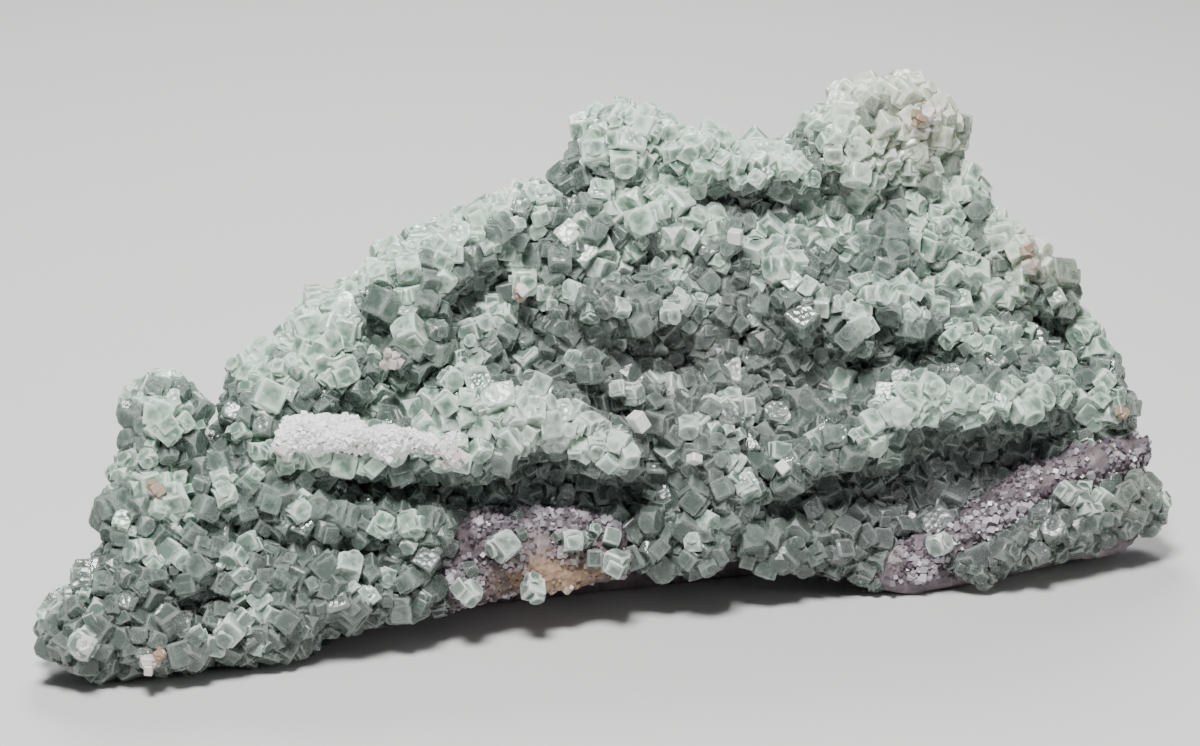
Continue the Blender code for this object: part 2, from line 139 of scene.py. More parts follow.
world = bpy.data.worlds.new("studio")
world.use_nodes = True
world.node_tree.nodes["Background"].inputs["Color"].default_value = (0.86, 0.9, 0.92, 1)
world.node_tree.nodes["Background"].inputs["Strength"].default_value = 0.1
bpy.context.scene.world = world
print("lights: 3 and the world")

# %% [markdown]
# ## Where things grow
#
# The front of the specimen leans back. A point on it is named by how far it is across and how far
# up, in millimetres, and its depth follows from the lean. The crystals sit on ledges and knobs, so
# the bed below them is made from chains of balls along each ledge, joined to the slab behind.
# Two regions stay bare: a patch low in the middle and a slanting band at the lower right.

# %% The front face and its bare regions
FACE_FOOT, FACE_LEAN = -24.0, 0.36
BACK_FOOT, BACK_LEAN = 31.0, -0.2

BARE_PATCH = np.array([
    (-31, -20), (-33, 9), (-30, 16), (-24, 19.5), (-13, 19.5), (-6, 17), (0, 14.5), (2, 9), (1, -20),
])
BAND_EDGE = np.array([
    (44, -20), (46, 0), (57, 5), (65, 8), (73, 11.4), (81, 14), (89, 15.6), (97, 17), (125, 18), (125, -20),
])
BAND_WIDTH = 4.5        # how high the bare band is above its lower edge
ARCH = np.array([
    (-57, -20), (-56, 1), (-48, 4), (-32, 5.5), (-14, 7), (0, 7.5), (20, 8.5), (34, 4), (43, 1), (44, -20),
])
RESTING = 0.6           # up to this height nothing but the rock touches the table


def face_depth(up):
    return FACE_FOOT + FACE_LEAN * up


def inside(across, up, outline):
    """For arrays of places: whether each lies inside the outline."""
    hit = np.zeros(len(across), bool)
    for (ax, ay), (bx, by) in zip(outline, np.roll(outline, -1, axis=0)):
        if ay == by:
            continue
        crosses = (ay > up) != (by > up)
        hit ^= crosses & (across < (bx - ax) * (up - ay) / (by - ay) + ax)
    return hit


# %% The ledges, as chains of (across, up, radius, how far it stands out)
LEDGES = [
    [(6, 76, 8, 2), (4, 72, 6, 0), (11, 77, 7, 2)],
    [(5, 68, 9, -2), (14, 68, 10, -2), (26, 65, 10, -1), (38, 65, 10, -1), (50, 68, 10, -1),
     (60, 68, 10, -2)],
    [(-8, 60, 9, -2), (-22, 54, 9, -2), (-34, 48, 9, -2), (-46, 40, 8, -2), (-58, 33, 7, -2),
     (-70, 27, 7, -2)],
    [(16, 74, 6, 3), (22, 73, 6, 3), (28, 70, 6, 4), (36, 70, 6, 4)],
    [(45, 74, 7, 4), (51, 77, 8, 4), (59, 77, 8, 2), (65, 74, 7, 0), (48, 69, 7, 3)],
    [(64, 65, 7, -2), (68, 60, 7, 0), (74, 54, 7, 0), (79, 49, 7, 2), (84, 44, 6, 0)],
    [(87, 39, 6, -3), (90, 34, 6, 0), (89, 28, 7, 2), (93, 21, 6, -2)],
    [(-8, 67, 6, 1), (-15, 65, 6, 2), (-22, 61, 7, 2), (-29, 59, 8, 3), (-36, 55, 7, 3)],
    [(-41, 53, 6, 0), (-48, 48, 8, 1), (-46, 43, 8, 3), (-56, 42, 8, 2), (-62, 38, 6, 2)],
    [(-75, 40, 8, 3), (-76, 35, 7, 3), (-80, 30, 6, 0), (-70, 33, 5, -2)],
    [(-31, 51, 7, 5), (-35, 47, 6, 6)],
    [(-20, 46, 5, 0), (-13, 47, 6, 1), (-8, 47, 5, 0)],
    [(-2, 52, 6, 7), (5, 51, 6, 8), (12, 53, 5, 6)],
    [(-7, 60, 6, 2), (3, 63, 6, 2), (10, 65, 6, 2), (19, 60, 6, 0), (24, 56, 6, 0)],
    [(33, 55, 7, 5), (34, 48, 6, 5), (43, 49, 7, 5), (42, 43, 6, 5)],
    [(51, 56, 7, 4), (50, 50, 7, 5), (54, 45, 6, 5)],
    [(29, 23, 6, 6), (36, 26, 6, 8), (43, 29, 6, 8), (50, 33, 7, 9), (58, 33, 7, 9), (68, 31, 7, 8),
     (78, 31, 7, 6)],
    [(69, 38, 6, 5), (62, 41, 6, 4)],
    [(-34, 36, 6, 4), (-28, 39, 7, 6), (-21, 36, 8, 9), (-13, 36, 7, 9), (-6, 32, 7, 10), (-1, 30, 6, 10)],
    [(-60, 35, 6, 4), (-53, 34, 7, 6), (-46, 33, 7, 7), (-38, 32, 6, 7), (-31, 32, 6, 8), (-24, 31, 6, 8)],
    [(-4, 42, 5, 4), (5, 36, 6, 3), (11, 31, 7, 5), (18, 30, 7, 6), (14, 24, 7, 6), (21, 20, 6, 6),
     (12, 16, 7, 6), (12, 11, 6, 6)],
    [(-82, 25, 7, 4), (-76, 27, 7, 3), (-68, 28, 8, 4), (-59, 25, 8, 4), (-50, 22, 7, 4), (-42, 21, 7, 4),
     (-35, 18, 7, 5)],
    [(-91, 12, 6, 4), (-87, 15, 7, 4), (-80, 17, 8, 4), (-72, 18, 8, 5), (-63, 15, 8, 5), (-55, 13, 8, 6),
     (-46, 11, 7, 6), (-38, 11, 6, 5)],
    [(-95, 9, 6, 2), (-93, 8, 7, 3), (-87, 7, 7, 4), (-80, 7, 7, 5), (-73, 7, 7, 5), (-65, 7, 7, 5),
     (-57, 9, 7, 5)],
    [(4, 14, 6, 3), (20, 12, 6, 4), (28, 11, 6, 3), (38, 9, 6, 2)],
]
FOOT = [
    [(55, 6, 6, 6), (63, 7, 7, 7), (71, 8, 7, 7), (80, 9, 7, 6), (88, 10, 7, 5), (95, 10, 7, 3)],
    [(72, 10, 6, 6), (81, 12, 6, 6), (88, 13, 6, 5), (93, 13, 6, 2)],
]
HOLLOWS = [
    [(-46, 27.5, 3.5, 4), (-36, 26, 4.5, 6), (-20, 24, 5, 7), (-4, 22.5, 5, 7), (5, 21, 4, 4)],
    [(32, 20, 4, 3), (43, 18, 5, 6), (54, 17, 6, 7), (66, 19, 6, 7), (77, 22, 4.5, 5)],
    [(23, 66, 4, 4), (33, 64.5, 5, 6), (44, 63.5, 5, 6), (54, 64, 4, 4)],
    [(7, 46, 4, 4), (15, 43, 5, 5), (24, 39, 5, 5), (34, 36, 5, 5), (41, 37, 4, 4)],
    [(-16, 42, 4, 4), (-13, 49, 4, 4), (-23, 55, 4, 3), (-27, 50, 4, 4)],
    [(37, 59, 4, 4), (43, 62, 4, 4)],
]
HOLLOW_FLOOR = 7.5      # how far behind the face the hollows end
OUTLINE = [
    (-93, 3), (-88, 12), (-78, 21), (-71, 30), (-58, 35), (-44, 43), (-28, 51), (-10, 59), (1, 69), (14, 70),
    (30, 66), (44, 70), (58, 71), (63, 63), (72, 50), (81, 38), (88, 24), (92, 10), (92, 1),
    (60, -3), (-60, -3),
]
# The slab behind the ledges, front to back: share of the depth, width kept, height kept.
SLAB_RINGS = ((0.0, 0.97, 0.97), (0.2, 0.98, 0.97), (0.55, 0.89, 0.92), (1.0, 0.76, 0.82))
print("ledges:", len(LEDGES), "balls:", sum(len(chain) for chain in LEDGES + FOOT))

# %% [markdown]
# ## The bed
#
# Voxel remeshing is the simplest way to weld a heap of balls and a block into one skin. It works on
# volume, so overlaps don't matter. A few rounds of smoothing take the voxel steps out, and fractal
# noise breaks up the balls' roundness. The crystals will hide nearly all of this surface, but its
# dips and lumps decide where they are large, small, light or dark.

# %% Helpers that make and weld meshes
CRYSTAL_DEPTH = 3.4     # from the bed out to the crystals' tips, in millimetres


def new_mesh(name, points, faces):
    """A mesh from points in millimetres."""
    mesh = bpy.data.meshes.new(name)
    mesh.from_pydata([tuple(p) for p in np.asarray(points) * MM], [], faces)
    return mesh


def applied(obj):
    """The object's mesh with its modifiers applied, and the object gone."""
    bpy.context.view_layer.update()
    graph = bpy.context.evaluated_depsgraph_get()
    mesh = bpy.data.meshes.new_from_object(obj.evaluated_get(graph))
    bpy.data.objects.remove(obj)
    return mesh


def welded(mesh, voxel, smooth_rounds):
    obj = link(mesh, "work")
    skin = obj.modifiers.new("skin", "REMESH")
    skin.mode = "VOXEL"
    skin.voxel_size = voxel * MM
    soften = obj.modifiers.new("soften", "SMOOTH")
    soften.factor = 0.5
    soften.iterations = smooth_rounds
    return applied(obj)


def mesh_points(mesh):
    points = np.empty(len(mesh.vertices) * 3)
    mesh.vertices.foreach_get("co", points)
    return points.reshape(-1, 3) / MM


def mesh_normals(mesh):
    normals = np.empty(len(mesh.vertices) * 3)
    mesh.vertices.foreach_get("normal", normals)
    return normals.reshape(-1, 3)


def fractal(points, size, detail=3, shift=0.0):
    """Smooth noise of about -1 to 1 at each point, with lumps of this size."""
    aside = Vector((shift, shift, shift))
    return np.array([noise.fractal(Vector(p) / size + aside, 1.0, 2.0, detail) for p in points])


def set_points(mesh, points):
    mesh.vertices.foreach_set("co", (points * MM).ravel())
    mesh.update()


# %% Weld the bed
def ball_heap(chains, reduce):
    """Balls along each chain, each with two more behind it that root it in the slab."""
    unit = bmesh.new()
    bmesh.ops.create_icosphere(unit, subdivisions=2, radius=1)
    ball = np.array([v.co for v in unit.verts])
    ball_faces = [[v.index for v in f.verts] for f in unit.faces]
    unit.free()
    points, faces = [], []
    for chain in chains:
        middles = [tuple((np.array(a) + np.array(b)) / 2) for a, b in zip(chain, chain[1:])]
        for across, up, radius, out in list(chain) + middles:
            centre = np.array((across, face_depth(up) - out + radius, up))
            for root in ((0, 0, 0), (0, 3, -0.5), (0, 6.5, -1)):
                faces += [[i + len(points) * len(ball) for i in f] for f in ball_faces]
                points.append(ball * (radius - reduce) + centre + root)
    return np.concatenate(points), faces


def slab(front_set, swell, rear_set):
    """The block behind the ledges, as rings of the outline from front to back."""
    points, faces = [], []
    for share, keep_across, keep_up in SLAB_RINGS:
        for across, up in OUTLINE:
            outward = np.array((across, 0, up - 30.0))
            outward *= swell / np.linalg.norm(outward)
            front = face_depth(up) + front_set
            rear = BACK_FOOT + BACK_LEAN * up - rear_set
            place = (across * keep_across, front + (rear - front) * share, up * keep_up)
            points.append(np.array(place) + outward)
    count = len(OUTLINE)
    for ring in range(len(SLAB_RINGS) - 1):
        for i in range(count):
            j = (i + 1) % count
            near, far = ring * count, (ring + 1) * count
            faces.append([near + i, near + j, far + j, far + i])
    faces.append(list(range(count))[::-1])
    faces.append([i + count * (len(SLAB_RINGS) - 1) for i in range(count)])
    return np.array(points), faces


def without(mesh, gone):
    """The mesh without the faces whose centres the function says are gone."""
    centres = np.empty(len(mesh.polygons) * 3)
    mesh.polygons.foreach_get("center", centres)
    drop = gone(centres.reshape(-1, 3) / MM)
    work = bmesh.new()
    work.from_mesh(mesh)
    work.faces.ensure_lookup_table()
    bmesh.ops.delete(work, geom=[work.faces[i] for i in np.flatnonzero(drop)], context="FACES")
    work.to_mesh(mesh)
    work.free()
    mesh.update()


def bare_rock_at(places):
    """True over the bare patch, the band, the arch below and the resting face."""
    x, y, z = places.T
    patch = inside(x, z, BARE_PATCH) & (y < 4)
    band = inside(x, z - BAND_WIDTH, BAND_EDGE) & (y < 20)
    return patch | band | inside(x, z, ARCH) | (z < RESTING)


def hollowed(points):
    """The points, with those in front of a hollow pushed back into it."""
    push = np.zeros(len(points))
    for chain in HOLLOWS:
        for first, last in zip(np.array(chain), np.array(chain[1:])):
            along = (last - first)[:2]
            share = np.clip((points[:, ::2] - first[:2]) @ along / (along @ along), 0, 1)[:, None]
            line = first + share * (last - first)
            away = np.linalg.norm(points[:, ::2] - line[:, :2], axis=1)
            push = np.maximum(push, line[:, 3] * np.clip(1 - (away / line[:, 2]) ** 2, 0, 1))
    moved = points.copy()
    floor_depth = face_depth(points[:, 2]) + HOLLOW_FLOOR
    moved[:, 1] = np.minimum(points[:, 1] + push, np.maximum(points[:, 1], floor_depth))
    return moved


def weld_bed(name, chains, block):
    """One skin around balls and block, roughened, with the hollows pushed in."""
    points, faces = ball_heap(chains, CRYSTAL_DEPTH)
    if block is not None:
        block_points, block_faces = block
        faces += [[i + len(points) for i in f] for f in block_faces]
        points = np.concatenate([points, block_points])
    mesh = welded(new_mesh(name, points, faces), 1.5, 3)
    skin = mesh_points(mesh)
    skin += mesh_normals(mesh) * (fractal(skin, 7.0) * 0.9)[:, None]
    set_points(mesh, hollowed(skin))
    mesh.name = name
    return mesh


def band_height(across):
    """How high the band's lower edge runs."""
    return np.interp(across, BAND_EDGE[1:-1, 0], BAND_EDGE[1:-1, 1])


bed_mesh = weld_bed("crust_bed", LEDGES, slab(4.6, 1.5, 6.0))
without(bed_mesh, bare_rock_at)
foot_mesh = weld_bed("foot_bed", FOOT, None)
skin = mesh_points(foot_mesh)
above_band = skin[:, 2] - band_height(skin[:, 0])
FOLD_HEIGHT, FOLD_DEPTH = 1.5, 9.0      # above the band the foot's bed folds back into the rock
skin[:, 1] += np.clip(above_band / FOLD_HEIGHT, 0, 1) * FOLD_DEPTH
set_points(foot_mesh, skin)
without(foot_mesh, lambda places: places[:, 2] < RESTING)
print("bed triangles:", len(bed_mesh.polygons) * 2, "foot:", len(foot_mesh.polygons) * 2)

# %% [markdown]
# ## Rock
#
# The rock is fine-grained, purple to grey, with a tan, layered edge low in the middle. The frame's
# rock has the right form but large flat facets. Remeshing it at about a millimetre and pushing it
# in by layered noise gives a broken skin, while its flat resting face stays where it is. Noise
# that is rounded down to whole steps gives the back its flat breaks with sharp risers between them.

# %% Break up the rock's surface
rock_mesh = welded(nodes["matrix_rock"].data.copy(), 1.2, 2)
rock_points = mesh_points(rock_mesh)
rock_normals = mesh_normals(rock_mesh)
rough = fractal(rock_points, 6.0, 4) * 0.9 + fractal(rock_points, 1.8, 2, 5.0) * 0.35
rough += np.floor(fractal(rock_points, 13.0, 2, 2.0) * 5) * 0.55 * (rock_points[:, 1] > 4)
strata = np.sin(rock_points[:, 2] * 3.4 + fractal(rock_points, 12.0, 2, 9.0) * 2.5)
low_edge = np.exp(-((rock_points[:, 2] - 7.5) / 2.6) ** 2) * (rock_points[:, 1] < -8)
push = np.minimum(rough - 0.3, 0.5) + strata * low_edge * 0.45
push *= np.clip((rock_points[:, 2] - 0.2) / 2.0, 0, 1)
set_points(rock_mesh, rock_points + rock_normals * push[:, None])
rock = link(rock_mesh, "rock")
print("rock triangles:", len(rock_mesh.polygons) * 2)


# %% [markdown]
# ## Materials
#
# Natural surfaces share one habit: their colour drifts in soft patches and carries fine specks. That
# is the first node group. Each material sets its own colours and sizes. The fluorite's colour also
# follows what is stored on every crystal: a painted light value that is pale where the place is open
# and painted shade where it is hidden, how warm and how grey its place is, a chance value for the
# crystal, a painted shading for each facet, and where a point lies between the crystal's edges.

# %% Node helpers
def add(tree, kind, **values):
    made = tree.nodes.new(kind)
    for key, value in values.items():
        setattr(made, key, value)
    return made


def wire(tree, source, target):
    tree.links.new(source, target)


def feed(tree, given, target):
    """Wires an output to the input, or sets a number or a colour on the input itself."""
    if isinstance(given, bpy.types.NodeSocket):
        wire(tree, given, target)
    else:
        target.default_value = given if isinstance(given, float) else (*given, 1)


def mix_colour(tree, factor, first, second):
    made = add(tree, "ShaderNodeMix", data_type="RGBA")
    for given, number in ((factor, 0), (first, 6), (second, 7)):    # the inputs it uses for colours
        feed(tree, given, made.inputs[number])
    return made.outputs[2]


def math_node(tree, operation, first, second=0.0):
    made = add(tree, "ShaderNodeMath", operation=operation)
    feed(tree, first, made.inputs[0])
    feed(tree, second, made.inputs[1])
    return made.outputs[0]


# %% A group for drifting patches and specks
def group_with(name, floats, colours, outputs):
    """A node group with these number and colour inputs, and its two ends."""
    made = bpy.data.node_groups.new(name, "ShaderNodeTree")
    for label in floats:
        made.interface.new_socket(label, in_out="INPUT", socket_type="NodeSocketFloat")
    for label in colours:
        made.interface.new_socket(label, in_out="INPUT", socket_type="NodeSocketColor")
    for label in outputs:
        kind = "NodeSocketColor" if label == "Color" else "NodeSocketFloat"
        made.interface.new_socket(label, in_out="OUTPUT", socket_type=kind)
    return made, add(made, "NodeGroupInput"), add(made, "NodeGroupOutput")


patches, group_in, group_out = group_with(
    "patches_and_specks", ("Patch Size", "Speck Size", "Specks"), (), ("Patch", "Speck", "Height"),
)
place = add(patches, "ShaderNodeTexCoord").outputs["Object"]
broad = add(patches, "ShaderNodeTexNoise")
broad.inputs["Detail"].default_value = 4
fine = add(patches, "ShaderNodeTexVoronoi")
wire(patches, place, broad.inputs["Vector"])
wire(patches, place, fine.inputs["Vector"])
wire(patches, group_in.outputs["Patch Size"], broad.inputs["Scale"])
wire(patches, group_in.outputs["Speck Size"], fine.inputs["Scale"])
spread = add(patches, "ShaderNodeMapRange")
spread.inputs["From Min"].default_value = 0.34
spread.inputs["From Max"].default_value = 0.66
wire(patches, broad.outputs[0], spread.inputs["Value"])
specks = math_node(patches, "MULTIPLY", fine.outputs["Distance"], group_in.outputs["Specks"])
wire(patches, spread.outputs[0], group_out.inputs["Patch"])
wire(patches, specks, group_out.inputs["Speck"])
wire(patches, math_node(patches, "ADD", broad.outputs[0], specks), group_out.inputs["Height"])
print("group:", patches.name)


# %% The rock's material
def patchy(tree, patch_size, speck_size, specks):
    made = add(tree, "ShaderNodeGroup")
    made.node_tree = patches
    made.inputs["Patch Size"].default_value = patch_size
    made.inputs["Speck Size"].default_value = speck_size
    made.inputs["Specks"].default_value = specks
    return made


def bump(tree, height, strength, distance, shader):
    made = add(tree, "ShaderNodeBump")
    made.inputs["Strength"].default_value = strength
    made.inputs["Distance"].default_value = distance
    wire(tree, height, made.inputs["Height"])
    wire(tree, made.outputs[0], shader.inputs["Normal"])


def stored(tree, name):
    """The three stored values of a surface, as red, green and blue."""
    attribute = add(tree, "ShaderNodeAttribute", attribute_name=name)
    split = add(tree, "ShaderNodeSeparateColor")
    wire(tree, attribute.outputs["Color"], split.inputs[0])
    return split.outputs


rock_paint = plain_material("rock_paint", (0.3, 0.26, 0.27), 0.85)
tree = rock_paint.node_tree
shader = tree.nodes["Principled BSDF"]
surface = patchy(tree, 160.0, 700.0, 0.7)
tan, edge, pale = stored(tree, "kind")[:3]
base = mix_colour(tree, surface.outputs["Patch"], (0.07, 0.058, 0.066), (0.2, 0.165, 0.185))
base = mix_colour(tree, tan, base, (0.3, 0.2, 0.135))
base = mix_colour(tree, edge, base, (0.05, 0.032, 0.022))
base = mix_colour(tree, pale, base, (0.48, 0.43, 0.45))
wire(tree, base, shader.inputs["Base Color"])
bump(tree, surface.outputs["Height"], 0.9, 0.001, shader)
rock_mesh.materials.clear()
rock_mesh.materials.append(rock_paint)


# %% Where the rock is tan, layered or pale
def store(mesh, name, values, domain="POINT"):
    """Keeps three values a point, or a corner, on a mesh as a colour."""
    layer = mesh.color_attributes.new(name, "FLOAT_COLOR", domain)
    four = np.ones((len(values), 4))
    four[:, :3] = values
    layer.data.foreach_set("color", four.ravel())


across, depth, up = mesh_points(rock_mesh).T
front = (depth < face_depth(up) + 6).astype(float)
blotch = fractal(mesh_points(rock_mesh), 5.0, 3, 3.0)
tan = np.exp(-(((across + 14) / 10) ** 2 + ((up - 10.5) / 3.4) ** 2)) * 1.6 + blotch * 0.35
tan = np.clip(tan, 0, 1) * front
layered = np.exp(-((up - 6.6) / 1.7) ** 2) * (strata > -0.2) * (np.abs(across + 15) < 20) * front
pale = np.clip(blotch * 1.2 - 0.25, 0, 0.8) * front * (1 - tan)
store(rock_mesh, "kind", np.stack([tan, np.clip(layered, 0, 1), pale], axis=1))
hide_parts("matrix_rock")
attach(rock, "root")


# %% [markdown]
# ## Fluorite
#
# Real fluorite scatters light inside, so a crystal looks deep in the middle of a face and pale along
# its edges. A group finds that from each point's place in its own crystal, which is stored as a
# colour from 0 to 1: on a cube's face one of the three distances from the heart is the largest, and
# the second largest says how near the closest edge is. A second group blends all the tones. Both
# give only values and colours, so each finish sets its own glass values on its own shader.

# %% How near a point is to an edge of its crystal
tree, group_in, group_out = group_with("edge_nearness", (), ("Inner",), ("Edge",))
edge_nearness = tree
split = add(tree, "ShaderNodeSeparateColor")
wire(tree, group_in.outputs["Inner"], split.inputs[0])
x, y, z = (
    math_node(tree, "ABSOLUTE", math_node(tree, "SUBTRACT", channel, 0.5))
    for channel in split.outputs[:3]
)
second = math_node(tree, "MINIMUM", math_node(tree, "MAXIMUM", x, y), z)
second = math_node(tree, "MAXIMUM", math_node(tree, "MINIMUM", x, y), second)
near_edge = math_node(tree, "POWER", math_node(tree, "MULTIPLY", second, 2.0), 2.0)
wire(tree, near_edge, group_out.inputs["Edge"])
print("group:", tree.name)


# %% The fluorite's colour as a group
tree, group_in, group_out = group_with(
    "fluorite_tone", ("Painted Light", "Warm", "Grey", "Rim", "Chance", "Facet Painted Shading", "Edge"),
    ("Deep", "Milky", "Cream"), ("Color", "Roughness", "Height"),
)
fluorite_tone = tree
veil = patchy(tree, 420.0, 1100.0, 0.6)


def share(socket, weight, shift=0.0):
    """A value moved by shift and then scaled by weight."""
    return math_node(tree, "MULTIPLY", math_node(tree, "ADD", socket, shift), weight)


# openness starts as the stored painted light value and takes the crystal's own cloud patches and specks, a
# random painted shading for each facet and painted light near its edges.
openness = group_in.outputs["Painted Light"]
for socket, weight, middle in (
    (veil.outputs["Patch"], 0.6, -0.5), (veil.outputs["Speck"], 0.5, -0.2),
    (group_in.outputs["Facet Painted Shading"], -0.4, -0.5), (group_in.outputs["Edge"], 0.8, -0.48),
):
    openness = math_node(tree, "ADD", openness, share(socket, weight, middle))
openness.node.use_clamp = True
# Deep to Milky by openness: painted shade in the hollows, painted light on the knobs, with the crystals' own
# clouds.
tone = mix_colour(tree, openness, group_in.outputs["Deep"], group_in.outputs["Milky"])
# Grey places are less saturated and darker: partly the crust's own grey, partly painted shade, most of all
# low down.
faded = add(tree, "ShaderNodeHueSaturation")
faded.inputs["Saturation"].default_value = 0.35
faded.inputs["Value"].default_value = 0.82
wire(tree, tone, faded.inputs["Color"])
tone = mix_colour(tree, group_in.outputs["Grey"], tone, faded.outputs[0])
# The cream shows most where openness, with its painted light, is high.
warmth = math_node(tree, "MULTIPLY", group_in.outputs["Warm"], math_node(tree, "ADD", openness, 0.2))
tone = mix_colour(tree, warmth, tone, group_in.outputs["Cream"])
tone = mix_colour(tree, share(group_in.outputs["Chance"], 0.12), tone, (0.84, 0.9, 0.87))
# The chamfers and cut corners are painted paler: a painted highlight along the crystals' edges.
tone = mix_colour(tree, share(group_in.outputs["Rim"], 0.5), tone, (0.9, 0.96, 0.92))
wire(tree, tone, group_out.inputs["Color"])
rough = math_node(tree, "ADD", share(group_in.outputs["Chance"], 0.18), 0.07)
rough = math_node(tree, "ADD", rough, share(group_in.outputs["Rim"], 0.15))
wire(tree, rough, group_out.inputs["Roughness"])
wire(tree, veil.outputs["Height"], group_out.inputs["Height"])
print("group:", tree.name)


# %% The finishes of fluorite
CREAM = (0.85, 0.84, 0.68)
FLUORITE_IOR = 1.434


def fluorite(name, transmission, deep, milky, absorb=0.0):
    """A finish between a deep and a milky tone, with absorption where it is clear."""
    material = plain_material(name, milky, 0.15)
    tree = material.node_tree
    shader = tree.nodes["Principled BSDF"]
    shader.inputs["IOR"].default_value = FLUORITE_IOR
    shader.inputs["Transmission Weight"].default_value = transmission
    tone = add(tree, "ShaderNodeGroup")
    tone.node_tree = fluorite_tone
    for label, value in zip(("Painted Light", "Warm", "Grey"), stored(tree, "place")):
        wire(tree, value, tone.inputs[label])
    for label, value in zip(("Rim", "Chance", "Facet Painted Shading"), stored(tree, "facet")):
        wire(tree, value, tone.inputs[label])
    inner = add(tree, "ShaderNodeAttribute", attribute_name="inner")
    nearness = add(tree, "ShaderNodeGroup")
    nearness.node_tree = edge_nearness
    wire(tree, inner.outputs["Color"], nearness.inputs["Inner"])
    wire(tree, nearness.outputs["Edge"], tone.inputs["Edge"])
    for label, colour in (("Deep", deep), ("Milky", milky), ("Cream", CREAM)):
        tone.inputs[label].default_value = (*colour, 1)
    wire(tree, tone.outputs["Color"], shader.inputs["Base Color"])
    wire(tree, tone.outputs["Roughness"], shader.inputs["Roughness"])
    bump(tree, tone.outputs["Height"], 0.5, 0.0003, shader)
    if absorb:
        body = add(tree, "ShaderNodeVolumeAbsorption")
        body.inputs["Color"].default_value = (0.55, 0.9, 0.7, 1)
        body.inputs["Density"].default_value = absorb
        wire(tree, body.outputs[0], tree.nodes["Material Output"].inputs["Volume"])
    return material


milky_fluorite = fluorite("milky_fluorite", 0.17, (0.13, 0.22, 0.165), (0.74, 0.93, 0.77))
clear_fluorite = fluorite("clear_fluorite", 0.76, (0.31, 0.41, 0.36), (0.84, 0.98, 0.88), absorb=60.0)
# The bed runs from nearly black to dark green: painted shade where it shows between the crystals.
bed_fluorite_painted_shade = fluorite("bed_fluorite_painted_shade", 0.0, (0.01, 0.016, 0.013), (0.12, 0.25, 0.15))
print("finishes:", milky_fluorite.name, clear_fluorite.name, bed_fluorite_painted_shade.name)

# %% [markdown]
# ## How open each place is
#
# Crystals on the knobs are pale and milky, and those in the hollows are grey and dark: painted light
# and painted shade, standing in for how much light reaches each place. A handful of rays from each
# place shows how much of the sky it sees, and that number then drives size, the painted light and
# shade, and clearness. Two more maps, by place alone, say where the crust is cream and where it is grey.

# %% Measure openness with rays
SKY = chance.normal(size=(28, 3))
SKY /= np.linalg.norm(SKY, axis=1)[:, None]
REACH = 22.0            # how far a ray looks, in millimetres


def ray_tree(mesh):
    """A tree of the mesh in millimetres that answers rays quickly."""
    return BVHTree.FromPolygons(
        [Vector(p) for p in mesh_points(mesh)], [tuple(p.vertices) for p in mesh.polygons]
    )


bed_tree, foot_tree, rock_tree = map(ray_tree, (bed_mesh, foot_mesh, rock_mesh))


def openness_at(places, normals):
    """The share of rays from each place that meet no crust within reach."""
    seen = np.zeros(len(places))
    for number, (point, normal) in enumerate(zip(places, normals)):
        rays = SKY * np.sign(SKY @ normal)[:, None] + normal * 0.35
        start = Vector(point + normal * 0.8)
        free = 0
        for ray in rays:
            aim = Vector(ray)
            free += all(tree.ray_cast(start, aim, REACH)[0] is None for tree in (bed_tree, foot_tree))
        seen[number] = free / len(rays)
    return seen


def warmth_at(places):
    """Cream colour at the top right and along the right edge, as 0 to 1."""
    x, y, z = places.T
    top = np.exp(-(((x - 60) / 14) ** 2 + ((z - 76) / 9) ** 2))
    side = np.exp(-(((x - 80) / 9) ** 2 + ((z - 52) / 9) ** 2)) * 0.8
    tip = np.exp(-(((x - 92) / 8) ** 2 + ((z - 16) / 10) ** 2)) * 0.5
    return np.clip(np.maximum(np.maximum(top, side), tip), 0, 1)


LIGHTEST = 0.72         # leaves room for the painted light and shade of each facet


def light_at(places, normals, seen):
    """Painted light: pale on knobs, ledges and near the top; painted shade: grey in hollows and low down, as
    0 to 1.
    """
    x, y, z = places.T
    # What stands out, faces up or lies high gets painted light; low places and the recess at the lower right
    # get painted shade.
    stands_out = np.clip((face_depth(z) - y + 3) / 10, 0, 1)
    ledge = np.clip(normals[:, 2] - 0.2, 0, 1)
    rise = np.clip((z - 30) / 45, -0.6, 1)
    sky = np.clip((seen - 0.48) / 0.47, 0, 1) ** 1.7
    recess = np.exp(-(((x - 52) / 26) ** 2 + ((z - 15) / 9) ** 2)) * (y < 20)
    low = np.clip(1 - z / 32, 0, 1) * 0.42 + recess * 0.4
    light = sky * (0.35 + 0.6 * np.maximum(stands_out, ledge)) + 0.25 * rise + 0.07 - low
    return LIGHTEST * np.clip(light, 0, 1)


def greyness_at(places):
    """Green at the left and the top, grey in the middle and low down, as 0 to 1; low down the grey is partly
    painted shade.
    """
    x, y, z = places.T
    middle = np.exp(-(((x - 12) / 38) ** 2 + ((z - 38) / 24) ** 2))
    low_right = np.exp(-(((x - 55) / 35) ** 2 + ((z - 12) / 14) ** 2))
    low_left = np.clip((27 - z) / 20, 0, 1) * 0.6
    grey = np.max([middle * 0.75, low_right, low_left], axis=0)
    return np.clip(grey + chance.normal(0, 0.12, len(x)), 0, 1)
